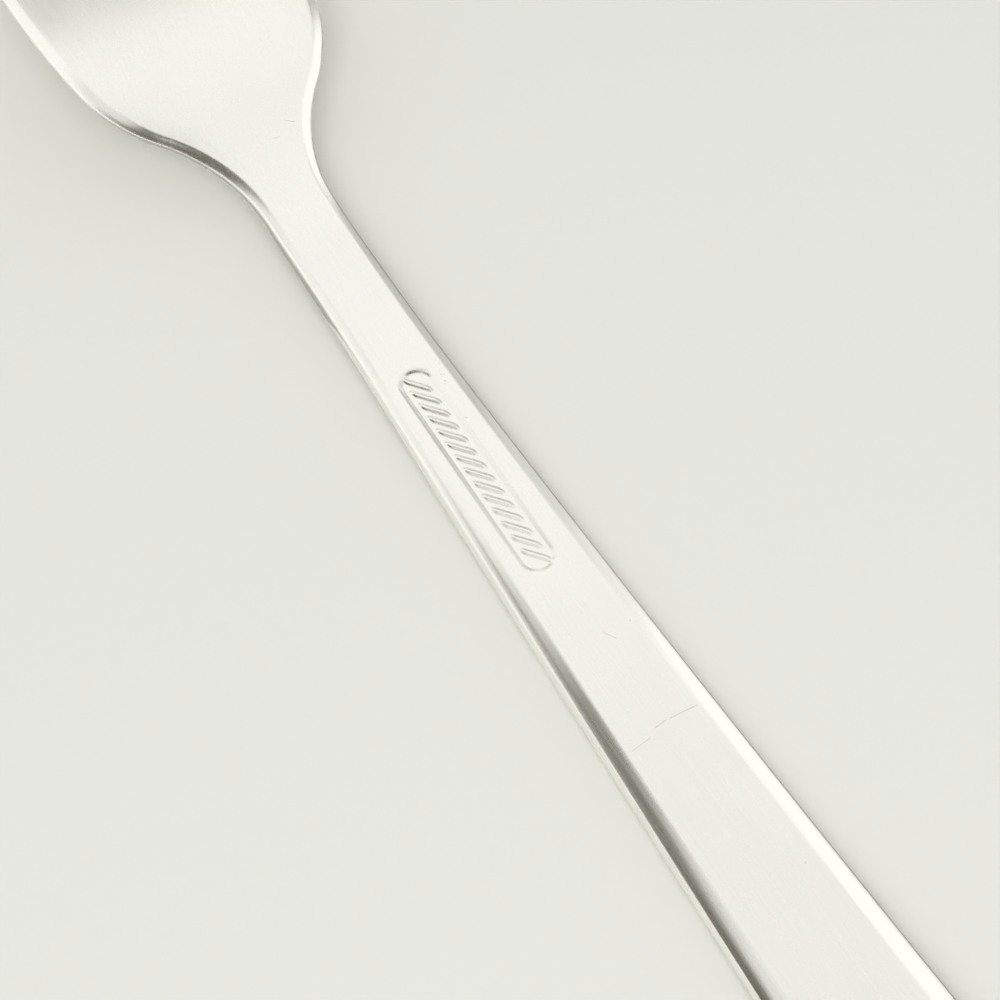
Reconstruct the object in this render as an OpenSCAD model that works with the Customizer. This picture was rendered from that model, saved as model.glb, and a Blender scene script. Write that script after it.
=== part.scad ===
// Salad fork: one forging of satin stainless steel, lying face down.
// +X points along the fork towards the tine tips, +Y across it, +Z up out of its back.
// All lengths are in millimetres, and all angles in degrees.

/* [Handle] */
// Length from the end of the handle to the neck
handle_len = 104; // [80:1:125]
// Width that the handle has reached at its end
handle_end_w = 13.4; // [10:0.1:20]
// Length over which the outline rounds off at the end
handle_end_round = 5; // [3:0.5:10]
// Thickness of the handle at its end
handle_end_t = 2; // [1.5:0.1:3]
// Radius of the long arch that the handle is bent to
handle_arch_r = 890; // [500:10:3000]
// Length behind the neck over which the taper sets in
taper_fade = 18; // [4:1:25]

/* [Neck] */
// Width of the neck
neck_w = 6.4; // [5:0.1:9]
// Thickness of the neck
neck_t = 1.8; // [1.5:0.1:3]
// Length of the parallel neck in front of the handle
neck_len = 4.9; // [2:0.1:10]
// Radius of the bend that lifts the head
neck_bend_r = 65; // [40:1:100]
// Angle by which the bend lifts the head out of the line of the handle
head_lift = 13.3; // [8:0.1:18]

/* [Head] */
// Radius of the hollow curve between the neck and the shoulder
hollow_r = 14.9; // [10:0.1:22]
// Radius of the shoulder
shoulder_r = 15.3; // [10:0.1:22]
// Steepest angle between the outline and the axis of the fork
shoulder_angle = 44; // [35:0.1:50]
// Angle at which the shoulder runs into the side of the head
side_angle = 10.4; // [4:0.1:14]
// Radius of the side of the head
side_r = 75; // [60:5:200]
// Length of the side between the shoulder and the roots of the slots
cheek_len = 11; // [4:0.5:14]
// Radius of the curve that the head and the tines are bent to
head_arc_r = 78; // [70:1:110]
// Height by which the middle of the head stands above its sides
head_crown = 0.7; // [0:0.1:1.5]
// Thickness of the head
head_t = 1.1; // [0.9:0.1:2]

/* [Tines] */
// Number of tines
tine_count = 4; // [3:1:5]
// Length of the tines
tine_len = 37; // [25:0.5:40]
// Angle at which the outer sides of the tines run in towards the tips
tine_lean = 1.5; // [0:0.5:5]
// Width of a slot at its root
slot_w = 2.4; // [1.5:0.1:3]
// Width of a tine where its point starts
tine_tip_w = 1.9; // [1.2:0.1:3]
// Thickness of a tine at its point
tine_tip_t = 1; // [0.7:0.1:1.5]
// Length of the rounded point
point_len = 1.5; // [0.8:0.1:3]

/* [Edges] */
// Width of the edge beside the flat of the back, at the end of the handle
handle_edge_w = 2.15; // [0.6:0.05:2.5]
// Width of the edge beside the flat of the back, at the neck and the head
neck_edge_w = 0.95; // [0.4:0.05:1.2]
// Width of the edge along a tine
tine_edge_w = 0.5; // [0.2:0.05:0.8]
// Radius of the edges of the face
face_edge_r = 0.8; // [0.2:0.05:1]

/* [Hidden] */

// Tilt of the back at the inner and at the outer line of a rolled edge
roll_start = 6;
roll_end = 38;
// Drop of a rolled edge for each millimetre of its width
edge_drop = tan((roll_start + roll_end) / 2);
// Bulge of the side below the roll for each millimetre of its height, so that it carries on the roll's curve
side_bulge = (1 - sin(roll_end)) / cos(roll_end);
// Most that the bulge takes of the edge's width, and least height of the side as part of its room
bulge_limit = 0.4;
side_share = 0.2;
// Most that an edge takes of the half width and of the thickness beside it
edge_share = 0.8;
thickness_share = 0.45;
// Part of a tine's thickness that its point loses on the back, and on the face
point_share = 1 / 3;
// How quickly a tine narrows: 1 is a straight taper, more keeps it full for longer
tine_fullness = 1.6;

// Rows of points along the fork
handle_rows = 13;
fade_rows = 4;
neck_rows = 2;
arc_rows = 9;
cheek_rows = 4;
slot_rows = 6;
tine_rows = 12;
end_angles = [84, 74, 62, 48, 32, 16, 0];
point_angles = [18, 36, 52, 66, 78, 85];
// Points round a rolled edge, as the tilt of the back there
roll_angles = [for (u = [1 / 3, 2 / 3, 1]) roll_start + (roll_end - roll_start) * u];
// Points down the bulged side, as its tilt there
side_angles = [64, 90];
// The one point between the side and the face, as an angle round their edge
face_angle = 45;

// Places along the axis, counted from the neck
hollow_end_x = neck_len + hollow_r * sin(shoulder_angle);
function shoulder_x(angle) = hollow_end_x + shoulder_r * (sin(shoulder_angle) - sin(angle));
shoulder_end_x = shoulder_x(side_angle);
root_x = shoulder_end_x + cheek_len;
side_end_x = shoulder_end_x + side_r * (sin(side_angle) + sin(tine_lean));
tip_x = root_x + tine_len;
point_x = tip_x - point_len;
slot_end_x = root_x + slot_w / 2;
bend_end_x = neck_bend_r * sin(head_lift);
crest_x = bend_end_x + head_arc_r * sin(head_lift);
crest_z = (neck_bend_r + head_arc_r) * (1 - cos(head_lift));

// Half widths at the ends of the outline's curves
hollow_end_y = neck_w / 2 + hollow_r * (1 - cos(shoulder_angle));
shoulder_end_y = hollow_end_y + shoulder_r * (cos(side_angle) - cos(shoulder_angle));
taper = (handle_end_w - neck_w) / 2 / (handle_len - taper_fade / 2);

function lerp(a, b, u) = a + (b - a) * u;
function clamp01(u) = max(0, min(1, u));
function smooth(u) = let (c = clamp01(u)) c * c * (3 - 2 * c);
// A quarter circle that falls from 1 to 0 as u goes from 0 to 1
function quarter(u) = sqrt(max(0, 1 - u * u));

// Side view: height and slope of the back along the axis
function back_z(x) =
    x < 0 ? handle_arch_r * (1 - quarter(x / handle_arch_r)) :
    x < bend_end_x ? neck_bend_r * (1 - quarter(x / neck_bend_r)) :
    crest_z - head_arc_r * (1 - quarter((x - crest_x) / head_arc_r));
function back_slope(x) =
    x < 0 ? asin(x / handle_arch_r) :
    x < bend_end_x ? asin(x / neck_bend_r) :
    asin((crest_x - x) / head_arc_r);

// Top view: half width of the handle, neck and head, and on along the tines as one outline
function handle_half(x) =
    let (back = -x)
    neck_w / 2 + taper * (back < taper_fade ? back * back / (2 * taper_fade) : back - taper_fade / 2);
function side_half(x) =
    let (
        curved_x = min(x, side_end_x),
        turn = sin(side_angle) - (curved_x - shoulder_end_x) / side_r
    )
    shoulder_end_y + side_r * (quarter(turn) - cos(side_angle)) - (x - curved_x) * tan(tine_lean);
function outline_half(x) =
    x < 0 ? handle_half(x) :
    x < neck_len ? neck_w / 2 :
    x < hollow_end_x ? neck_w / 2 + hollow_r * (1 - quarter((x - neck_len) / hollow_r)) :
    x < shoulder_end_x ?
        let (turn = sin(shoulder_angle) - (x - hollow_end_x) / shoulder_r)
        hollow_end_y + shoulder_r * (quarter(turn) - cos(shoulder_angle)) :
    side_half(x);
// The outline with the end of the handle rounded off
function body_half(x) =
    outline_half(x) * quarter(max(0, 1 - (x + handle_len) / handle_end_round));

// Thickness, crown and edges along the axis
function thickness(x) =
    x < 0 ? lerp(neck_t, handle_end_t, -x / handle_len) :
    x < root_x ? lerp(neck_t, head_t, smooth(x / hollow_end_x)) :
    lerp(head_t, tine_tip_t, (x - root_x) / tine_len);
function crown(x) =
    x < root_x ? head_crown * smooth(x / shoulder_end_x) :
    head_crown * (1 - smooth((x - root_x) / tine_len));
function edge_width(x) =
    x < 0 ? lerp(neck_edge_w, handle_edge_w, -x / handle_len) :
    x < root_x ? neck_edge_w :
    lerp(neck_edge_w, tine_edge_w, smooth((x - root_x) / tine_len));

// How far the back drops and the face rises in the roll at the handle's end and at the points
function end_roll(x, size) = size * (1 - quarter(max(0, 1 - (x + handle_len) / size)));
function point_roll(x) = point_share * thickness(x) * (1 - quarter(max(0, (x - point_x) / point_len)));
function back_drop(x) = edge_drop * end_roll(x, handle_edge_w) + point_roll(x);
function face_rise(x) = end_roll(x, face_edge_r) + point_roll(x);

// Tines: spacing, half width, half gap and centre line
function pitch(x) = (2 * side_half(x) + slot_w) / tine_count;
function tine_half(x) =
    let (along = clamp01((x - root_x) / (point_x - root_x)))
    lerp((pitch(x) - slot_w) / 2, tine_tip_w / 2, pow(along, tine_fullness));
function slot_half(x) =
    (pitch(x) / 2 - tine_half(x)) * quarter(max(0, (slot_end_x - x) / (slot_w / 2)));
function tine_y(k, x) = (k - (tine_count - 1) / 2) * pitch(x);
// Both sides of tine k: the outer tines have no slot beside them
function tine_side(k, x, side) =
    let (
        outer = side < 0 ? k == 0 : k == tine_count - 1,
        half = outer ? tine_half(x) : pitch(x) / 2 - slot_half(x)
    )
    tine_y(k, x) + side * half * quarter(max(0, (x - point_x) / point_len));

// A point of the section at x, from its place across the fork and its depth below the back
function place(x, y, depth) =
    let (up = crown(x) * (1 - pow(y / max(outline_half(x), abs(y)), 2)) - depth)
    [x - up * sin(back_slope(x)), y, back_z(x) + up * cos(back_slope(x))];

// A rolled edge at a tilt of the back: how far it is in from the outer line, and how far down, from 0 to 1
function roll_in(tilt) = (sin(roll_end) - sin(tilt)) / (sin(roll_end) - sin(roll_start));
function roll_down(tilt) = (cos(roll_start) - cos(tilt)) / (cos(roll_start) - cos(roll_end));
// The same for the bulged side below it
function side_in(tilt) = (1 - sin(tilt)) / (1 - sin(roll_end));
function side_down(tilt) = 1 - cos(tilt) / cos(roll_end);

// Points down one side, from the back to the face: the rolled edge, the bulged side, the edge of the face.
// The share sets how far they lean in: 0 is upright.
function side_points(x, y, side, width, radius, share) =
    let (
        top = back_drop(x),
        bottom = thickness(x) - face_rise(x),
        rise = min(radius, thickness_share * (bottom - top)),
        room = bottom - top - rise,
        height = max(room - edge_drop * width, side_share * room) / (1 - side_bulge * edge_drop),
        bulge = min(side_bulge * height, bulge_limit * width),
        drop = min(edge_drop * (width - bulge), thickness_share * (bottom - top)),
        inward = -side * share
    )
    concat(
        [for (a = roll_angles)
            place(x, y + inward * lerp(bulge, width, roll_in(a)), top + drop * roll_down(a))],
        [for (a = side_angles)
            place(x, y + inward * bulge * side_in(a), lerp(top + drop, bottom - rise, side_down(a)))],
        [place(x, y + inward * radius * (1 - cos(face_angle)), bottom - rise * (1 - sin(face_angle)))]
    );
function flip(list) = [for (i = [len(list) - 1:-1:0]) list[i]];

// A closed ring of points round a section: back, +Y side, face, -Y side
function ring(x, low, high, back_cols, face_cols, width, radius, low_share, high_share) =
    let (
        top = back_drop(x),
        bottom = thickness(x) - face_rise(x)
    )
    concat(
        [for (u = back_cols)
            place(x, lerp(low + low_share * width, high - high_share * width, u), top)],
        side_points(x, high, 1, width, radius, high_share),
        [for (u = flip(face_cols))
            place(x, lerp(low + low_share * radius, high - high_share * radius, u), bottom)],
        flip(side_points(x, low, -1, width, radius, low_share))
    );

// Columns across the body: one on every slot's centre line at the roots, and one between each two
function body_cols(inset) =
    let (
        flat = body_half(root_x) - inset,
        bounds = [for (k = [0:tine_count])
            k == 0 ? 0 :
            k == tine_count ? 1 :
            0.5 + (k - tine_count / 2) * pitch(root_x) / (2 * flat)]
    )
    [for (m = [0:2 * tine_count]) (bounds[floor(m / 2)] + bounds[ceil(m / 2)]) / 2];
back_cols = body_cols(neck_edge_w);
face_cols = body_cols(face_edge_r);
tine_cols = [0, 0.5, 1];

function body_ring(x) =
    let (
        half = body_half(x),
        width = min(edge_width(x), edge_share * half),
        radius = min(face_edge_r, edge_share * half)
    )
    ring(x, -half, half, back_cols, face_cols, width, radius, 1, 1);
// Slot edges start sharp at the root and are fully rolled where the slot has its whole width
function tine_ring(k, x) =
    let (
        low = tine_side(k, x, -1),
        high = tine_side(k, x, 1),
        limit = edge_share * (high - low) / 2,
        opened = clamp01(slot_half(x) / (slot_w / 2)),
        width = min(edge_width(x), limit),
        radius = min(face_edge_r, limit),
        low_share = k == 0 ? 1 : opened,
        high_share = k == tine_count - 1 ? 1 : opened
    )
    ring(x, low, high, tine_cols, tine_cols, width, radius, low_share, high_share);

// Rows of sections along the body and along the tines
body_x = concat(
    [for (a = end_angles) -handle_len + handle_end_round * (1 - sin(a))],
    [for (i = [1:handle_rows]) lerp(handle_end_round - handle_len, -taper_fade, i / handle_rows)],
    [for (i = [1:fade_rows]) -taper_fade * (1 - i / fade_rows)],
    [for (i = [1:neck_rows]) neck_len * i / neck_rows],
    [for (i = [1:arc_rows]) neck_len + hollow_r * sin(shoulder_angle * i / arc_rows)],
    [for (i = [1:arc_rows]) shoulder_x(lerp(shoulder_angle, side_angle, i / arc_rows))],
    [for (i = [1:cheek_rows]) lerp(shoulder_end_x, root_x, i / cheek_rows)]
);
tine_x = concat(
    [for (i = [1:slot_rows]) root_x + slot_w / 2 * (1 - cos(90 * i / slot_rows))],
    [for (i = [1:tine_rows]) lerp(slot_end_x, point_x, i / tine_rows)],
    [for (a = point_angles) point_x + point_len * sin(a)]
);

// The upright edge at the root of slot j, shared by the tines on both sides of it
function root_edge(j) =
    let (y = (tine_y(j, root_x) + tine_y(j + 1, root_x)) / 2)
    side_points(root_x, y, 1, neck_edge_w, face_edge_r, 0);

// Point numbers: body rings, then root edges, then the rings of each tine
side_count = len(roll_angles) + len(side_angles) + 1;
body_size = 2 * len(back_cols) + 2 * side_count;
tine_size = 2 * len(tine_cols) + 2 * side_count;
roots_start = len(body_x) * body_size;
tines_start = roots_start + (tine_count - 1) * side_count;

function body_numbers(row) = [for (i = [0:body_size - 1]) row * body_size + i];
// Ring of tine k at its root, made of points of the last body ring and of the root edges
function root_numbers(k) =
    let (
        last = body_numbers(len(body_x) - 1),
        cols = len(back_cols),
        face_start = cols + side_count,
        high = k == tine_count - 1 ?
            [for (i = [0:side_count - 1]) last[cols + i]] :
            [for (i = [0:side_count - 1]) roots_start + k * side_count + i],
        low = k == 0 ?
            [for (i = [0:side_count - 1]) last[face_start + cols + i]] :
            [for (i = [0:side_count - 1]) roots_start + k * side_count - 1 - i]
    )
    concat(
        [for (c = [0:len(tine_cols) - 1]) last[2 * k + c]],
        high,
        [for (c = [0:len(tine_cols) - 1]) last[face_start + cols - len(tine_cols) - 2 * k + c]],
        low
    );
function tine_numbers(k, row) =
    row == 0 ? root_numbers(k) :
    [for (i = [0:tine_size - 1]) tines_start + ((row - 1) + k * len(tine_x)) * tine_size + i];

// Triangles of the skin between two rings
function skin(a, b) =
    [for (i = [0:len(a) - 1], upper = [0, 1])
        let (n = (i + 1) % len(a))
        upper == 0 ? [a[i], a[n], b[n]] : [a[i], b[n], b[i]]];

// An end cap, as a ring that starts on a rolled edge, off the straight runs of the back and the face
function cap(numbers, cols) = [for (i = [0:len(numbers) - 1]) numbers[(i + cols + 1) % len(numbers)]];

fork_faces = concat(
    [flip(cap(body_numbers(0), len(back_cols)))],
    [for (r = [0:len(body_x) - 2]) each skin(body_numbers(r), body_numbers(r + 1))],
    [for (k = [0:tine_count - 1], r = [0:len(tine_x) - 1])
        each skin(tine_numbers(k, r), tine_numbers(k, r + 1))],
    [for (k = [0:tine_count - 1]) cap(tine_numbers(k, len(tine_x)), len(tine_cols))]
);
formed_points = concat(
    [for (x = body_x) each body_ring(x)],
    [for (j = [0:tine_count - 2]) each root_edge(j)],
    [for (k = [0:tine_count - 1], x = tine_x) each tine_ring(k, x)]
);

// Lying down: the line under the fork that touches the handle and the points of the tines
heel = [for (x = body_x) if (x < 0) place(x, 0, thickness(x) - face_rise(x))];
toe = [for (x = tine_x) place(x, tine_y(0, x), thickness(x) - face_rise(x))];
rest_slope = max([for (h = heel) min([for (t = toe) (t.z - h.z) / (t.x - h.x)])]);
rest_angle = atan(rest_slope);
function level(p) =
    [p.x * cos(rest_angle) + p.z * sin(rest_angle), p.y, p.z * cos(rest_angle) - p.x * sin(rest_angle)];
level_points = [for (p = formed_points) level(p)];
level_x = [for (p = level_points) p.x];
level_z = [for (p = level_points) p.z];
shift = [-(min(level_x) + max(level_x)) / 2, 0, -min(level_z)];

module fork() {
    color("gainsboro")
        polyhedron(points = [for (p = level_points) p + shift], faces = fork_faces, convexity = 8);
}

fork();
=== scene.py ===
"""Looks of a salad fork: one forging of satin steel, lying face down on a plain pale floor.

Sizes are written in millimetres, as in the part's source, and turned into metres where a mesh or a node takes
them. +X points along the fork towards the tips of its tines, +Y across it, and +Z up out of its back.
"""

import math

import bpy
import numpy as np
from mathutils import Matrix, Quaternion, Vector


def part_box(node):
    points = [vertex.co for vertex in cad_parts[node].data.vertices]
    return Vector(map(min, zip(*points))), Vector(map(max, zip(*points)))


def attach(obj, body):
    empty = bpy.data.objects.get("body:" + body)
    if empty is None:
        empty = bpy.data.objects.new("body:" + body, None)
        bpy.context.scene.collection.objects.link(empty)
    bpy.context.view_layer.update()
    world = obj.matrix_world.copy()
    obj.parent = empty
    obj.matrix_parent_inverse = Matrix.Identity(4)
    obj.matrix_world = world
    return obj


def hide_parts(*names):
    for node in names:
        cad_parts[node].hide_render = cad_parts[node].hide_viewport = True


MM = 0.001

# Handle
HANDLE_LEN = 104
HANDLE_END_W = 13.4
HANDLE_END_ROUND = 5
HANDLE_END_T = 2
HANDLE_ARCH_R = 890
TAPER_FADE = 18
# Neck
NECK_W = 6.4
NECK_T = 1.8
NECK_LEN = 4.9
NECK_BEND_R = 65
HEAD_LIFT = math.radians(13.3)
# Head
HOLLOW_R = 14.9
SHOULDER_R = 15.3
SHOULDER_ANGLE = math.radians(44)
SIDE_ANGLE = math.radians(10.4)
SIDE_R = 75
CHEEK_LEN = 11
HEAD_ARC_R = 78
HEAD_CROWN = 0.7
HEAD_T = 1.1
# Tines
TINE_COUNT = 4
TINE_LEN = 37
TINE_LEAN = math.radians(1.5)
SLOT_W = 2.4
TINE_TIP_W = 1.9
TINE_TIP_T = 1
TINE_FULLNESS = 1.6
POINT_LEN = 1.5
POINT_SHARE = 1 / 3
# Edges
HANDLE_EDGE_W = 2.15
NECK_EDGE_W = 0.95
TINE_EDGE_W = 0.5
FACE_EDGE_R = 0.8
ROLL_START = math.radians(6)
ROLL_END = math.radians(38)
# Limits that keep the edges in hand where the fork is thin or narrow, as shares of the room that they have there
BULGE_LIMIT = 0.4
SIDE_SHARE = 0.2
EDGE_SHARE = 0.8
THICKNESS_SHARE = 0.45
# Stamped recess in the back of the handle, with a row of plain raised bars in it
STAMP_MIDDLE = (-24.05, 0.28)
STAMP_LEN = 20.9
STAMP_W = 3.3
STAMP_WALL = 0.5
STAMP_DEPTH = 0.17
STAMP_TILT = 0.4
BAR_COUNT = 14
BAR_W = 0.34
BAR_LEN = 1.5
BAR_FLANK = 0.2
BAR_HEIGHT = 0.12
BAR_SLANT = math.radians(50)

# Places along the axis and half widths there, counted from the neck
HOLLOW_END_X = NECK_LEN + HOLLOW_R * math.sin(SHOULDER_ANGLE)
HOLLOW_END_Y = NECK_W / 2 + HOLLOW_R * (1 - math.cos(SHOULDER_ANGLE))
SHOULDER_END_X = HOLLOW_END_X + SHOULDER_R * (math.sin(SHOULDER_ANGLE) - math.sin(SIDE_ANGLE))
SHOULDER_END_Y = HOLLOW_END_Y + SHOULDER_R * (math.cos(SIDE_ANGLE) - math.cos(SHOULDER_ANGLE))
ROOT_X = SHOULDER_END_X + CHEEK_LEN
SIDE_END_X = SHOULDER_END_X + SIDE_R * (math.sin(SIDE_ANGLE) + math.sin(TINE_LEAN))
SLOT_END_X = ROOT_X + SLOT_W / 2
TIP_X = ROOT_X + TINE_LEN
POINT_X = TIP_X - POINT_LEN
TAPER = (HANDLE_END_W - NECK_W) / 2 / (HANDLE_LEN - TAPER_FADE / 2)

# Columns of the mesh across one tine's share of the back and of the face
BACK_COLUMNS = 16
FACE_COLUMNS = 4
# Rows of the mesh along each stretch. They lie closest at the stamp, with a margin past both its ends
END_ROWS = 23
HANDLE_ROWS = 60
STAMP_ROWS = 270
STAMP_MARGIN = 0.5
NECK_ROWS = 30
SHOULDER_ROWS = 70
CHEEK_ROWS = 20
SLOT_ROWS = 13
TINE_ROWS = 60
POINT_ROWS = 13
# How far round the rows go at the end of the handle and at a tine's point, where a flat facet closes the mesh
END_TURN = math.radians(88)
POINT_TURN = math.radians(87)
# Rounds in which the pressed fork is turned until it lies level
LEVEL_ROUNDS = 8


def lerp(a, b, u):
    return a + (b - a) * u


def smooth(u):
    c = np.clip(u, 0, 1)
    return c * c * (3 - 2 * c)


def quarter(u):
    """A quarter circle that falls from 1 to 0 as u goes from 0 to 1."""
    return np.sqrt(np.maximum(0, 1 - np.square(u)))


def side_half(x):
    curved_x = min(x, SIDE_END_X)
    turn = math.sin(SIDE_ANGLE) - (curved_x - SHOULDER_END_X) / SIDE_R
    curved = SHOULDER_END_Y + SIDE_R * (quarter(turn) - math.cos(SIDE_ANGLE))
    return curved - (x - curved_x) * math.tan(TINE_LEAN)


def outline_half(x):
    """Half width of the handle, neck and head, and on along the tines as one outline."""
    if x < 0:
        faded = x * x / (2 * TAPER_FADE) if -x < TAPER_FADE else -x - TAPER_FADE / 2
        return NECK_W / 2 + TAPER * faded
    if x < NECK_LEN:
        return NECK_W / 2
    if x < HOLLOW_END_X:
        return NECK_W / 2 + HOLLOW_R * (1 - quarter((x - NECK_LEN) / HOLLOW_R))
    if x < SHOULDER_END_X:
        turn = math.sin(SHOULDER_ANGLE) - (x - HOLLOW_END_X) / SHOULDER_R
        return HOLLOW_END_Y + SHOULDER_R * (quarter(turn) - math.cos(SHOULDER_ANGLE))
    return side_half(x)


def body_half(x):
    """The outline with the end of the handle rounded off."""
    return outline_half(x) * quarter(max(0, 1 - (x + HANDLE_LEN) / HANDLE_END_ROUND))


def thickness(x):
    if x < 0:
        return lerp(NECK_T, HANDLE_END_T, -x / HANDLE_LEN)
    if x < ROOT_X:
        return lerp(NECK_T, HEAD_T, smooth(x / HOLLOW_END_X))
    return lerp(HEAD_T, TINE_TIP_T, (x - ROOT_X) / TINE_LEN)


def edge_width(x):
    if x < 0:
        return lerp(NECK_EDGE_W, HANDLE_EDGE_W, -x / HANDLE_LEN)
    return lerp(NECK_EDGE_W, TINE_EDGE_W, smooth((x - ROOT_X) / TINE_LEN))


# A rolled edge seen across the fork, from 0 to 1: how far it is in from the outer line, and how far down
ROLL_TILTS = lerp(ROLL_START, ROLL_END, np.array([0.1, 0.22, 0.36, 0.5, 0.64, 0.78, 0.9, 0.97, 1]))
ROLL_IN = (math.sin(ROLL_END) - np.sin(ROLL_TILTS)) / (math.sin(ROLL_END) - math.sin(ROLL_START))
ROLL_DOWN = (math.cos(ROLL_START) - np.cos(ROLL_TILTS)) / (math.cos(ROLL_START) - math.cos(ROLL_END))
EDGE_DROP = math.tan((ROLL_START + ROLL_END) / 2)
# The bulged side below it, from a slight crease down to the rounded edge of the face
SIDE_BULGE = (1 - math.sin(ROLL_END)) / math.cos(ROLL_END)
SIDE_START = math.radians(45)
SIDE_END = math.radians(83)
SIDE_TILTS = lerp(SIDE_START, SIDE_END, np.array([0.04, 0.12, 0.24, 0.36, 0.48, 0.6, 0.72, 0.86, 1]))
SIDE_IN = (math.sin(SIDE_END) - np.sin(SIDE_TILTS)) / (math.sin(SIDE_END) - math.sin(SIDE_START))
SIDE_DOWN = (math.cos(SIDE_START) - np.cos(SIDE_TILTS)) / (math.cos(SIDE_START) - math.cos(SIDE_END))
FACE_TURNS = np.radians([20, 40, 60, 78])
SIDE_POINTS = len(ROLL_TILTS) + len(SIDE_TILTS) + len(FACE_TURNS)


def end_roll(x, size):
    """How far the surface falls in the roll round the end of the handle."""
    return size * (1 - quarter(max(0, 1 - (x + HANDLE_LEN) / size)))


def point_roll(x):
    return POINT_SHARE * thickness(x) * (1 - quarter(max(0, (x - POINT_X) / POINT_LEN)))


def back_depth(x):
    return EDGE_DROP * end_roll(x, HANDLE_EDGE_W) + point_roll(x)


def face_depth(x):
    return thickness(x) - end_roll(x, FACE_EDGE_R) - point_roll(x)


def side_profile(x, y, side, width, radius, share):
    """Points down one side from the back to the face, as y and depth. A share of 0 is upright."""
    top, bottom = back_depth(x), face_depth(x)
    rise = min(radius, THICKNESS_SHARE * (bottom - top))
    room = bottom - top - rise
    height = max(room - EDGE_DROP * width, SIDE_SHARE * room) / (1 - SIDE_BULGE * EDGE_DROP)
    bulge = min(SIDE_BULGE * height, BULGE_LIMIT * width)
    drop = min(EDGE_DROP * (width - bulge), THICKNESS_SHARE * (bottom - top))
    inward = np.concatenate([
        lerp(bulge, width, ROLL_IN),
        bulge * SIDE_IN,
        radius * (1 - np.cos(FACE_TURNS)),
    ])
    depth = np.concatenate([
        top + drop * ROLL_DOWN,
        lerp(top + drop, bottom - rise, SIDE_DOWN),
        bottom - rise * (1 - np.sin(FACE_TURNS)),
    ])
    return np.stack([y - side * share * inward, depth], axis=1)


def ring(x, low, high, back_cols, face_cols, width, radius, low_share, high_share):
    """A closed ring round the section at x: back, +Y side, face, -Y side, as x, y and depth."""
    def across(columns, inset, depth):
        ys = lerp(low + low_share * inset, high - high_share * inset, columns)
        return np.stack([ys, np.full(len(ys), depth)], axis=1)

    around = np.concatenate([
        across(back_cols, width, back_depth(x)),
        side_profile(x, high, 1, width, radius, high_share),
        across(face_cols[::-1], radius, face_depth(x)),
        side_profile(x, low, -1, width, radius, low_share)[::-1],
    ])
    return np.column_stack([np.full(len(around), x), around])


def pitch(x):
    return (2 * side_half(x) + SLOT_W) / TINE_COUNT


def tine_half(x):
    along = np.clip((x - ROOT_X) / (POINT_X - ROOT_X), 0, 1)
    return lerp((pitch(x) - SLOT_W) / 2, TINE_TIP_W / 2, along**TINE_FULLNESS)


def slot_half(x):
    return (pitch(x) / 2 - tine_half(x)) * quarter(max(0, (SLOT_END_X - x) / (SLOT_W / 2)))


def tine_side(tine, x, side):
    """Where tine's side lies across the fork. The outer tines have no slot on their outer side."""
    outer = tine == (0 if side < 0 else TINE_COUNT - 1)
    half = tine_half(x) if outer else pitch(x) / 2 - slot_half(x)
    middle = (tine - (TINE_COUNT - 1) / 2) * pitch(x)
    return middle + side * half * quarter(max(0, (x - POINT_X) / POINT_LEN))


def body_columns(inset, count):
    """Columns across the body, with one on the middle line of every slot at its root."""
    flat = body_half(ROOT_X) - inset
    bounds = [0.5 + (k - TINE_COUNT / 2) * pitch(ROOT_X) / (2 * flat) for k in range(TINE_COUNT + 1)]
    bounds[0], bounds[-1] = 0, 1
    return np.interp(np.arange(TINE_COUNT * count + 1) / count, np.arange(TINE_COUNT + 1), bounds)


def body_rings(rows):
    back_cols = body_columns(NECK_EDGE_W, BACK_COLUMNS)
    face_cols = body_columns(FACE_EDGE_R, FACE_COLUMNS)
    rings = []
    for x in rows:
        half = body_half(x)
        width = min(edge_width(x), EDGE_SHARE * half)
        radius = min(FACE_EDGE_R, EDGE_SHARE * half)
        rings.append(ring(x, -half, half, back_cols, face_cols, width, radius, 1, 1))
    return np.array(rings)


def tine_rings(tine, rows):
    """Rings along one tine. Slot edges start sharp at the root and are fully rolled where the slot is open."""
    back_cols = np.linspace(0, 1, BACK_COLUMNS + 1)
    face_cols = np.linspace(0, 1, FACE_COLUMNS + 1)
    rings = []
    for x in rows:
        low, high = tine_side(tine, x, -1), tine_side(tine, x, 1)
        limit = EDGE_SHARE * (high - low) / 2
        opened = np.clip(slot_half(x) / (SLOT_W / 2), 0, 1)
        shares = [1 if tine == 0 else opened, 1 if tine == TINE_COUNT - 1 else opened]
        width, radius = min(edge_width(x), limit), min(FACE_EDGE_R, limit)
        rings.append(ring(x, low, high, back_cols, face_cols, width, radius, *shares))
    return np.array(rings)


def root_edge(slot):
    """The upright edge at a slot's root, shared by the tines on both sides of it."""
    y = (slot - TINE_COUNT / 2 + 1) * pitch(ROOT_X)
    down = side_profile(ROOT_X, y, 1, NECK_EDGE_W, FACE_EDGE_R, 0)
    return np.column_stack([np.full(len(down), ROOT_X), down])


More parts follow.
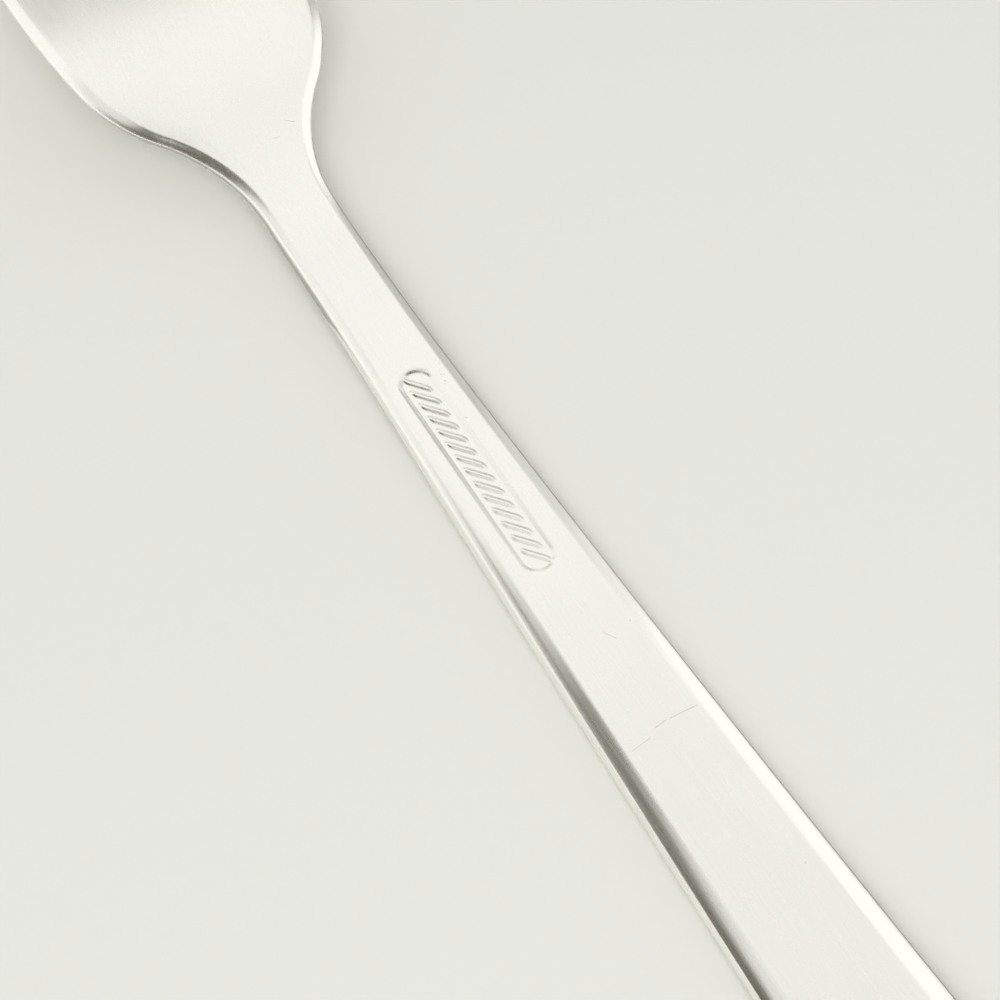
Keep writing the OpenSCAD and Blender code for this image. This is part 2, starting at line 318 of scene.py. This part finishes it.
def body_rows():
    stamp_start = STAMP_MIDDLE[0] - STAMP_LEN / 2 - STAMP_MARGIN
    stamp_end = STAMP_MIDDLE[0] + STAMP_LEN / 2 + STAMP_MARGIN
    turns = np.linspace(END_TURN, 0, END_ROWS)
    end_rows = HANDLE_END_ROUND * (1 - np.sin(turns)) - HANDLE_LEN
    return np.concatenate([
        end_rows,
        np.linspace(end_rows[-1], stamp_start, HANDLE_ROWS)[1:],
        np.linspace(stamp_start, stamp_end, STAMP_ROWS)[1:],
        np.linspace(stamp_end, NECK_LEN, NECK_ROWS)[1:],
        np.linspace(NECK_LEN, SHOULDER_END_X, SHOULDER_ROWS)[1:],
        np.linspace(SHOULDER_END_X, ROOT_X, CHEEK_ROWS)[1:],
    ])


def tine_rows():
    slot_turns = np.linspace(0, math.pi / 2, SLOT_ROWS)[1:]
    point_turns = np.linspace(0, POINT_TURN, POINT_ROWS)[1:]
    return np.concatenate([
        ROOT_X + SLOT_W / 2 * (1 - np.cos(slot_turns)),
        np.linspace(SLOT_END_X, POINT_X, TINE_ROWS)[1:],
        POINT_X + POINT_LEN * np.sin(point_turns),
    ])


def skin(rings):
    """Quads between each two rings of point numbers that follow each other."""
    a, b = rings[:-1], rings[1:]
    a_next, b_next = np.roll(a, -1, axis=1), np.roll(b, -1, axis=1)
    return np.stack([a, b, b_next, a_next], axis=-1).reshape(-1, 4).tolist()


def flat_blank():
    """The fork as a flat blank with its outline, slots and edges. Bends, crown and stamp come later."""
    body, rows = body_rings(body_rows()), tine_rows()
    body_numbers = np.arange(body.shape[0] * body.shape[1]).reshape(body.shape[:2])
    points, count = [body.reshape(-1, 3)], body_numbers.size
    edges = []
    for slot in range(TINE_COUNT - 1):
        points.append(root_edge(slot))
        edges.append(np.arange(count, count + SIDE_POINTS))
        count += SIDE_POINTS

    faces = skin(body_numbers) + [body_numbers[0].tolist()]
    last, back_count = body_numbers[-1], TINE_COUNT * BACK_COLUMNS + 1
    high_side = last[back_count:back_count + SIDE_POINTS]
    face = last[back_count + SIDE_POINTS:-SIDE_POINTS][::-1]
    low_side = last[-SIDE_POINTS:]
    for tine in range(TINE_COUNT):
        rings = tine_rings(tine, rows)
        numbers = np.arange(count, count + rings.shape[0] * rings.shape[1]).reshape(rings.shape[:2])
        points.append(rings.reshape(-1, 3))
        count += numbers.size
        root = np.concatenate([
            last[tine * BACK_COLUMNS:(tine + 1) * BACK_COLUMNS + 1],
            high_side if tine == TINE_COUNT - 1 else edges[tine],
            face[tine * FACE_COLUMNS:(tine + 1) * FACE_COLUMNS + 1][::-1],
            low_side if tine == 0 else edges[tine - 1][::-1],
        ])
        faces += skin(np.vstack([root, numbers])) + [numbers[-1][::-1].tolist()]

    points = np.concatenate(points)
    mesh = bpy.data.meshes.new("fork_blank")
    mesh.from_pydata((points * (MM, MM, -MM)).tolist(), [], faces)
    halves = {x: outline_half(x) for x in np.unique(points[:, 0])}
    add_values(mesh, "half_width", [halves[x] * MM for x in points[:, 0]])
    on_back = np.zeros(len(points))
    on_back[body_numbers[:, :back_count]] = 1
    add_values(mesh, "on_back", on_back)
    return mesh


def add_values(mesh, name, values):
    mesh.attributes.new(name, "FLOAT", "POINT").data.foreach_set("value", np.asarray(values, np.float32))


class Field:
    """A node socket that can be used in sums, in geometry and shader trees alike."""

    def __init__(self, socket):
        self.socket = socket
        self.nodes = socket.id_data.nodes

    def math(self, operation, *values):
        node = self.nodes.new("ShaderNodeMath")
        node.operation = operation
        for slot, value in zip(node.inputs, values):
            plug(slot, value)
        return Field(node.outputs[0])

    def __add__(self, other):
        return self.math("ADD", self, other)

    def __sub__(self, other):
        return self.math("SUBTRACT", self, other)

    def __rsub__(self, other):
        return self.math("SUBTRACT", other, self)

    def __mul__(self, other):
        return self.math("MULTIPLY", self, other)

    def __truediv__(self, other):
        return self.math("DIVIDE", self, other)

    def __lt__(self, other):
        return self.math("LESS_THAN", self, other)

    def sin(self):
        return self.math("SINE", self)

    def cos(self):
        return self.math("COSINE", self)

    def root(self):
        return self.math("SQRT", self)

    def between(self, low, high):
        """The nearest value in the range from low to high."""
        return self.math("MINIMUM", self.math("MAXIMUM", self, low), high)

    def ramp(self, start, end):
        """0 at start and 1 at end, with soft turns."""
        node = self.nodes.new("ShaderNodeMapRange")
        node.interpolation_type = "SMOOTHSTEP"
        for slot, value in zip(node.inputs, (self, start, end)):
            plug(slot, value)
        return Field(node.outputs[0])


def plug(slot, value):
    if isinstance(value, Field):
        slot.id_data.links.new(value.socket, slot)
    else:
        slot.default_value = value


def either(test, yes, no):
    """yes where the test is 1, and no where it is 0."""
    return (1 - test) * no + test * yes


def split(vector):
    node = vector.nodes.new("ShaderNodeSeparateXYZ")
    plug(node.inputs[0], vector)
    return [Field(s) for s in node.outputs]


def join(nodes, x, y, z):
    node = nodes.new("ShaderNodeCombineXYZ")
    for slot, value in zip(node.inputs, (x, y, z)):
        plug(slot, value)
    return Field(node.outputs[0])


PRESS_SIZES = {
    "Handle Arch Radius": HANDLE_ARCH_R * MM,
    "Neck Bend Radius": NECK_BEND_R * MM,
    "Head Lift": HEAD_LIFT,
    "Head Curve Radius": HEAD_ARC_R * MM,
    "Crown Height": HEAD_CROWN * MM,
    "Crown Start": SHOULDER_END_X * MM,
    "Slot Root": ROOT_X * MM,
    "Tip": TIP_X * MM,
    "Stamp Middle Along": STAMP_MIDDLE[0] * MM,
    "Stamp Middle Across": STAMP_MIDDLE[1] * MM,
    "Stamp Length": STAMP_LEN * MM,
    "Stamp Width": STAMP_W * MM,
    "Stamp Wall": STAMP_WALL * MM,
    "Stamp Depth": STAMP_DEPTH * MM,
    "Stamp Tilt": STAMP_TILT,
    "Bar Count": BAR_COUNT,
    "Bar Width": BAR_W * MM,
    "Bar Length": BAR_LEN * MM,
    "Bar Flank": BAR_FLANK * MM,
    "Bar Height": BAR_HEIGHT * MM,
    "Bar Slant": BAR_SLANT,
}


def stamp_sink(x, y, size):
    """How deep the stamp lies below the back at x, y: a soft-sided recess with a row of raised, slanting bars.

    Its tilt is the share by which it is struck deeper towards the tines, and less deep at its other end.
    """
    x, y = x - size["Stamp Middle Along"], y - size["Stamp Middle Across"]
    radius = size["Stamp Width"] / 2
    reach = size["Stamp Length"] / 2 - radius
    beyond = x - x.between(reach * -1, reach)
    from_middle = (beyond * beyond + y * y).root()
    wall = ((radius - from_middle) / size["Stamp Wall"]).between(0, 1)

    gap = reach * 2 / (size["Bar Count"] - 1)
    slant = size["Bar Slant"]
    place = (x + reach - y * slant.sin() / slant.cos()) / gap
    bar = x.math("ROUND", place).between(0, size["Bar Count"] - 1)
    along = (place - bar) * gap * slant.cos()
    straight = (size["Bar Length"] - size["Bar Width"]) / 2
    past_end = y - y.between(straight * -1, straight)
    from_bar = (along * along + past_end * past_end).root()
    half, flank = size["Bar Width"] / 2, size["Bar Flank"] / 2
    raised = from_bar.ramp(half + flank, half - flank)
    struck = x / (size["Stamp Length"] / 2) * size["Stamp Tilt"] + 1
    return (wall * wall * size["Stamp Depth"] - raised * size["Bar Height"]) * struck


def press_tree():
    """Geometry Nodes that press the flat blank: the stamp, the crown of the head and the bends in side view."""
    tree = bpy.data.node_groups.new("press_fork", "GeometryNodeTree")
    face, nodes, links = tree.interface, tree.nodes, tree.links
    face.new_socket("Blank", in_out="INPUT", socket_type="NodeSocketGeometry")
    names = {}
    for name in PRESS_SIZES:
        names[name] = face.new_socket(name, in_out="INPUT", socket_type="NodeSocketFloat").identifier
    names["Steel"] = face.new_socket("Steel", in_out="INPUT", socket_type="NodeSocketMaterial").identifier
    face.new_socket("Fork", in_out="OUTPUT", socket_type="NodeSocketGeometry")
    given, made = nodes.new("NodeGroupInput"), nodes.new("NodeGroupOutput")
    size = {name: Field(given.outputs[name]) for name in PRESS_SIZES}

    def stored(name):
        node = nodes.new("GeometryNodeInputNamedAttribute")
        node.data_type = "FLOAT"
        node.inputs["Name"].default_value = name
        return Field(node.outputs["Attribute"])

    x, y, up = split(Field(nodes.new("GeometryNodeInputPosition").outputs[0]))
    crown = size["Crown Height"] * x.ramp(0, size["Crown Start"]) * x.ramp(size["Tip"], size["Slot Root"])
    share = y / stored("half_width")
    up = up + crown * (1 - share * share) - stamp_sink(x, y, size) * stored("on_back")

    arch, bend, head = (size[k] for k in ("Handle Arch Radius", "Neck Bend Radius", "Head Curve Radius"))
    lift = size["Head Lift"]
    crest_x, crest_z = (bend + head) * lift.sin(), (bend + head) * (1 - lift.cos())
    behind, before_head = x < 0, x < bend * lift.sin()
    lean = either(behind, x / arch, either(before_head, x / bend, (crest_x - x) / head))
    upright = (1 - lean * lean).root()
    height = either(behind, arch, either(before_head, bend, head * -1)) * (1 - upright)
    height = height + (1 - before_head) * crest_z
    pressed = nodes.new("GeometryNodeSetPosition")
    links.new(given.outputs["Blank"], pressed.inputs["Geometry"])
    plug(pressed.inputs["Position"], join(nodes, x - up * lean, y, height + up * upright))

    chain = [pressed]
    for kind in ("GeometryNodeSetShadeSmooth", "GeometryNodeRealizeInstances", "GeometryNodeSetMaterial"):
        chain.append(nodes.new(kind))
        links.new(chain[-2].outputs["Geometry"], chain[-1].inputs["Geometry"])
    links.new(given.outputs["Steel"], chain[-1].inputs["Material"])
    links.new(chain[-1].outputs["Geometry"], made.inputs["Fork"])
    return tree, names


def put(name, data):
    """A new object, linked into the scene."""
    made = bpy.data.objects.new(name, data)
    bpy.context.scene.collection.objects.link(made)
    return made


def lie_down(mesh, box):
    """Turn the mesh until handle and tines touch one level, and set it into the CAD node's box."""
    co = np.empty(len(mesh.vertices) * 3, np.float32)
    mesh.vertices.foreach_get("co", co)
    co = co.reshape(-1, 3).astype(float)
    handle = co[:, 0] < 0
    for _ in range(LEVEL_ROUNDS):
        heel = co[handle][co[handle][:, 2].argmin()]
        toe = co[~handle][co[~handle][:, 2].argmin()]
        turn = math.atan2(toe[2] - heel[2], toe[0] - heel[0])
        x, z = co[:, 0].copy(), co[:, 2].copy()
        co[:, 0] = x * math.cos(turn) + z * math.sin(turn)
        co[:, 2] = z * math.cos(turn) - x * math.sin(turn)
    low, high = box
    co[:, 0] += (low.x + high.x - co[:, 0].min() - co[:, 0].max()) / 2
    co[:, 2] += low.z - co[:, 2].min()
    mesh.vertices.foreach_set("co", co.astype(np.float32).ravel())
    mesh.update()


def make_fork(steel, box):
    blank = put("fork_blank", flat_blank())
    tree, names = press_tree()
    press = blank.modifiers.new("press", "NODES")
    press.node_group = tree
    for name, value in PRESS_SIZES.items():
        press[names[name]] = float(value)
    press[names["Steel"]] = steel
    evaluated = blank.evaluated_get(bpy.context.evaluated_depsgraph_get())
    mesh = bpy.data.meshes.new_from_object(evaluated)
    bpy.data.objects.remove(blank)
    mesh.name = "satin_fork"
    lie_down(mesh, box)
    return put("satin_fork", mesh)


def new_material(name):
    material = bpy.data.materials.new(name)
    material.use_nodes = True
    shader = material.node_tree.nodes["Principled BSDF"]
    return material, material.node_tree.nodes, shader


def blend(nodes, share, color_a, color_b):
    """From the first colour at 0 to the second at 1, and on beyond them."""
    node = nodes.new("ShaderNodeMix")
    node.data_type = "RGBA"
    node.clamp_factor = False
    plug(node.inputs["Factor"], share)
    node.inputs["A"].default_value = (*color_a, 1)
    node.inputs["B"].default_value = (*color_b, 1)
    return Field(node.outputs["Result"])


def plain_material(name, color):
    material, _, shader = new_material(name)
    shader.inputs["Base Color"].default_value = (*color, 1)
    shader.inputs["Roughness"].default_value = 0.9
    shader.inputs["Specular IOR Level"].default_value = 0
    return material


# Scratches and nicks on the back, from end to end: x and y in millimetres, then how deep they look from 0 to 1
MARKS = [
    ((-32.17, 0.42), (-32.10, -0.46), 1),
    ((-32.12, -0.79), (-32.30, -2.95), 1),
    ((-32.77, 2.83), (-32.63, 1.23), 0.5),
    ((2.14, -2.15), (2.06, -2.18), 0.8),
    ((1.12, -1.74), (1.02, -1.76), 0.9),
    ((0.98, -1.96), (0.90, -1.98), 0.7),
    ((0.48, -1.70), (0.36, -1.74), 0.9),
    ((0.22, -1.58), (0.14, -1.60), 0.7),
    ((-3.31, -1.42), (-3.36, -1.42), 1),
    ((-24.37, -2.63), (-24.42, -2.63), 1),
    ((-24.15, -0.45), (-25.03, -0.98), 0.6),
    ((27.87, -1.23), (27.87, -1.70), 0.8),
    ((29.03, -2.81), (28.64, -3.54), 0.7),
    ((-45.27, -2.54), (-45.32, -2.54), 1),
]
MARK_W = 0.07
MARK_DARKNESS = 4

# The brushed finish: how often its lines, streaks and clouds come in a metre along x, y and z, and their detail.
# Then what they add to the roughness, how deep the brush lines are, and the finest ones' share in that
FINE_LINES = ((90, 9000, 9000), 2)
STREAKS = ((45, 2200, 2200), 3)
CLOUDS = ((150, 260, 260), 3)
LEAST_ROUGHNESS = 0.18
STREAK_ROUGHNESS = 0.12
CLOUD_ROUGHNESS = 0.06
BRUSH_DEPTH = 0.008
FINE_SHARE = 0.3
# The steel's tones, and how far past the first one a scratch can darken it
STEEL_DULL = (0.90, 0.89, 0.84)
STEEL_BRIGHT = (0.98, 0.97, 0.915)
SHINE_RANGE = (-2, 1)


def marks(place):
    """How strongly the nearest scratch shows, from 0 to 1."""
    x, y, _ = split(place)
    shown = None
    for start, end, depth in MARKS:
        (x0, y0), (x1, y1) = [(a * MM, b * MM) for a, b in (start, end)]
        run, rise = x1 - x0, y1 - y0
        along = (((x - x0) * run + (y - y0) * rise) / (run * run + rise * rise)).between(0, 1)
        dx, dy = x - x0 - along * run, y - y0 - along * rise
        line = (dx * dx + dy * dy).root().ramp(MARK_W * MM, 0) * depth
        shown = line if shown is None else shown.math("MAXIMUM", shown, line)
    return shown


def satin_steel():
    """Stainless steel, brushed along the fork, with a few scratches."""
    material, nodes, shader = new_material("satin_steel")
    place = Field(nodes.new("ShaderNodeTexCoord").outputs["Object"])

    def noise(scale, detail):
        stretch = nodes.new("ShaderNodeMapping")
        stretch.inputs["Scale"].default_value = scale
        plug(stretch.inputs["Vector"], place)
        texture = nodes.new("ShaderNodeTexNoise")
        texture.inputs["Scale"].default_value = 1
        texture.inputs["Detail"].default_value = detail
        plug(texture.inputs["Vector"], Field(stretch.outputs[0]))
        return Field(texture.outputs["Fac"])

    fine, streaks, clouds = noise(*FINE_LINES), noise(*STREAKS), noise(*CLOUDS)
    scratch = marks(place)
    plug(shader.inputs["Roughness"], streaks * STREAK_ROUGHNESS + clouds * CLOUD_ROUGHNESS + LEAST_ROUGHNESS)
    shine = (clouds * 0.5 + fine * 0.5 - scratch * MARK_DARKNESS).between(*SHINE_RANGE)
    plug(shader.inputs["Base Color"], blend(nodes, shine, STEEL_DULL, STEEL_BRIGHT))
    shader.inputs["Metallic"].default_value = 1
    bump = nodes.new("ShaderNodeBump")
    bump.inputs["Distance"].default_value = BRUSH_DEPTH * MM
    bump.inputs["Strength"].default_value = 1
    plug(bump.inputs["Height"], fine * FINE_SHARE + streaks - scratch)
    plug(shader.inputs["Normal"], Field(bump.outputs["Normal"]))
    return material


# The studio: its floor, and the heights of its cards, level ones as Z and standing ones as H
FLOOR_HALF = 4000
FLOOR_COLOR = (0.80, 0.80, 0.75)
HOOD_Z = 105
FLAG_Z = 33
HEAD_FLAG_Z = 20
SHADE_Z = 0.2
CAMERA_CARD_Z = 106
DIM_CARD_Z = 200
STAMP_CARD_Z = 300
NECK_CARD_H = 14
NEAR_CARD_H = 38
LOW_CARD_H = 70
SIDE_CARD_H = 200
FAR_CARD_H = 300
DARK_CARD_FOOT = 32
# The room's tone at its sides and straight above, and the heights on a ball of radius 1 between which it turns
ROOM_TONE = (1, 1, 0.98)
ROOM_TOP_TONE = (0.94, 0.94, 0.92)
ROOM_TURN = (0.84, 0.98)


def panel(name, material, points, faces):
    """A thin piece of the studio, from points in millimetres."""
    mesh = bpy.data.meshes.new(name)
    mesh.from_pydata((np.array(points) * MM).tolist(), [], faces)
    mesh.materials.append(material)
    made = put(name, mesh)
    return made


def standing(path, height, foot=0):
    """Points and faces of a card that stands along a path, from its foot up to a height."""
    points = [(x, y, z) for x, y in path for z in (foot, height)]
    return points, [(2 * i, 2 * i + 2, 2 * i + 3, 2 * i + 1) for i in range(len(path) - 1)]


def level(outline, height):
    """Points and face of a card that lies level at a height."""
    return [(x, y, height) for x, y in outline], [range(len(outline))]


def card(name, glow, shape, in_steel=True):
    """A studio card, as bright as its glow is written. It shows in the steel, or else lights only the floor."""
    material, _, shader = new_material(name)
    shader.inputs["Base Color"].default_value = (0, 0, 0, 1)
    shader.inputs["Specular IOR Level"].default_value = 0
    shader.inputs["Emission Color"].default_value = (*glow, 1)
    shader.inputs["Emission Strength"].default_value = 1
    made = panel(name, material, *shape)
    made.visible_camera = made.visible_shadow = False
    made.visible_glossy, made.visible_diffuse = in_steel, not in_steel


def square(half):
    return [(-half, -half, 0), (half, -half, 0), (half, half, 0), (-half, half, 0)]


def soft_box(name, glow, middle, half):
    """A square card that faces the fork and lights the floor round it."""
    facing = Vector(middle).to_track_quat("Z", "Y")
    corners = [Vector(middle) + facing @ Vector(corner) for corner in square(half)]
    card(name, (glow, glow, glow), ([tuple(c) for c in corners], [range(4)]), in_steel=False)


def studio():
    """A pale floor, its light, and cards that the steel shows."""
    panel("floor", plain_material("pale_floor", FLOOR_COLOR), square(FLOOR_HALF), [range(4)])
    # The floor's light: a wide one above, and one beyond the end of the handle
    soft_box("top_light", glow=0.586, middle=(0, 0, 1600), half=16000)
    soft_box("end_light", glow=5.1, middle=(-1000, 400, 900), half=500)

    # Over the left edge: a dark hood, with pale flags below it that keep it off the neck and the head
    hood = [
        (-12, 14), (14, 14), (34, 24), (58, 26), (58, 60), (48, 95),
        (50, 230), (-90, 230), (-90, 106), (-30, 90), (-14, 58),
    ]
    card("dark_hood", (0.095, 0.085, 0.06), level(hood, HOOD_Z))
    dark_card = [(10, 150), (-260, 150), (-260, -80)]
    card("dark_card", (0.08, 0.06, 0.04), standing(dark_card, HOOD_Z, foot=DARK_CARD_FOOT))
    pale_flag = [(-2, 7), (18, 7), (18, 20), (12, 24), (-2, 24)]
    card("pale_flag", (0.97, 0.97, 0.95), level(pale_flag, FLAG_Z))
    card("grey_flag", (0.6, 0.6, 0.56), level([(-13, 7), (-2, 7), (-2, 26), (-13, 26)], FLAG_Z))
    card("head_flag", (0.8, 0.8, 0.78), level([(33, 12), (46, 12), (46, 28), (29.4, 28)], HEAD_FLAG_Z))
    card("low_card", (1.1, 1.1, 1.08), standing([(60, 150), (260, 150)], LOW_CARD_H))

    # Along the right edge: grey beside the neck, then white, and smaller cards close to the neck and the handle
    card("grey_card", (0.48, 0.48, 0.46), standing([(75, -150), (215, -150)], SIDE_CARD_H))
    card("white_card", (1.08, 1.08, 1.06), standing([(75, -150), (-260, -150)], SIDE_CARD_H))
    card("near_card", (0.68, 0.68, 0.66), standing([(-3, -30), (12, -30)], NEAR_CARD_H))
    card("step_card", (0.86, 0.86, 0.84), standing([(-14, -30), (-3, -30)], NEAR_CARD_H))
    card("neck_card", (1.05, 1.05, 1.03), standing([(27, -13), (34, -13)], NECK_CARD_H))

    # Just over the floor, where the lower parts of the edges show it: grey sheets that only the steel sees,
    # painted shade standing in for the floor's shadow beside the fork
    painted_right_shade = [(-62, -6.5), (16, -4.2), (30, -6), (30, -11), (-62, -13)]
    card("painted_right_shade", (0.3, 0.3, 0.28), level(painted_right_shade, SHADE_Z))
    painted_neck_shade = [(6, -11.5), (40, -11.5), (60, -55), (0, -55)]
    card("painted_neck_shade", (0.45, 0.45, 0.43), level(painted_neck_shade, SHADE_Z))
    painted_left_shade = [(12, 4), (22, 4.2), (30, 8), (38, 12), (44, 26), (20, 24), (12, 18)]
    card("painted_left_shade", (0.4, 0.4, 0.37), level(painted_left_shade, SHADE_Z))

    # Above the right side, above the left of the handle, high beyond its end, and beyond the tips of the tines
    dim_card = [(-80, -140), (60, -140), (60, -30), (-80, -30)]
    card("dim_card", (0.88, 0.88, 0.86), level(dim_card, DIM_CARD_Z))
    camera_card = [(-110, 0), (-48, 0), (-48, 70), (-110, 70)]
    card("camera_card", (0.12, 0.12, 0.11), level(camera_card, CAMERA_CARD_Z))
    stamp_card = [(-140, -260), (-140, 40), (-420, 60), (-420, -320)]
    card("stamp_card", (0.12, 0.12, 0.11), level(stamp_card, STAMP_CARD_Z))
    card("far_card", (0.62, 0.62, 0.59), standing([(250, -115), (250, 50)], FAR_CARD_H))
    bpy.context.scene.world = pale_room()


def pale_room():
    """An even room, a little dimmer straight above, that shows in the steel and doesn't light the floor."""
    world = bpy.data.worlds.new("pale_room")
    world.use_nodes = True
    nodes = world.node_tree.nodes
    height = split(Field(nodes.new("ShaderNodeTexCoord").outputs["Generated"]))[2]
    tone = blend(nodes, height.ramp(*ROOM_TURN), ROOM_TONE, ROOM_TOP_TONE)
    plug(nodes["Background"].inputs["Color"], tone)
    world.cycles_visibility.diffuse = False
    return world


CAMERA_PLACE = Vector((-62.82, 31.03, 103.98)) * MM
CAMERA_AIM = Vector((-9.90, -0.47, 0)) * MM
CAMERA_ROLL = math.radians(-0.72)
CAMERA_LENS = 56.695
CAMERA_SENSOR = 36
CAMERA_NEAR = 1 * MM


def make_camera():
    data = bpy.data.cameras.new("photo_camera")
    data.sensor_width, data.lens = CAMERA_SENSOR, CAMERA_LENS
    data.clip_start = CAMERA_NEAR
    camera = put("photo_camera", data)
    camera.location = CAMERA_PLACE
    looking = (CAMERA_AIM - CAMERA_PLACE).to_track_quat("-Z", "Y")
    camera.rotation_euler = (looking @ Quaternion((0, 0, 1), CAMERA_ROLL)).to_euler()
    bpy.context.scene.camera = camera


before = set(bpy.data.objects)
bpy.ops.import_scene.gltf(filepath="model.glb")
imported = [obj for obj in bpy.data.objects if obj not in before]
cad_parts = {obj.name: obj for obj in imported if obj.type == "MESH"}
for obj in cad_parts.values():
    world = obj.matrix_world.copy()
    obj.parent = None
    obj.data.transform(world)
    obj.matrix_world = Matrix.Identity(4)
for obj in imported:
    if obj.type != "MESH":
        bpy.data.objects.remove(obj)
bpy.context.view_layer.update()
bpy.context.scene.view_settings.view_transform = "Standard"
make_camera()
studio()
fork = make_fork(satin_steel(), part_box("fork"))
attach(fork, "root")
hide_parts("fork")
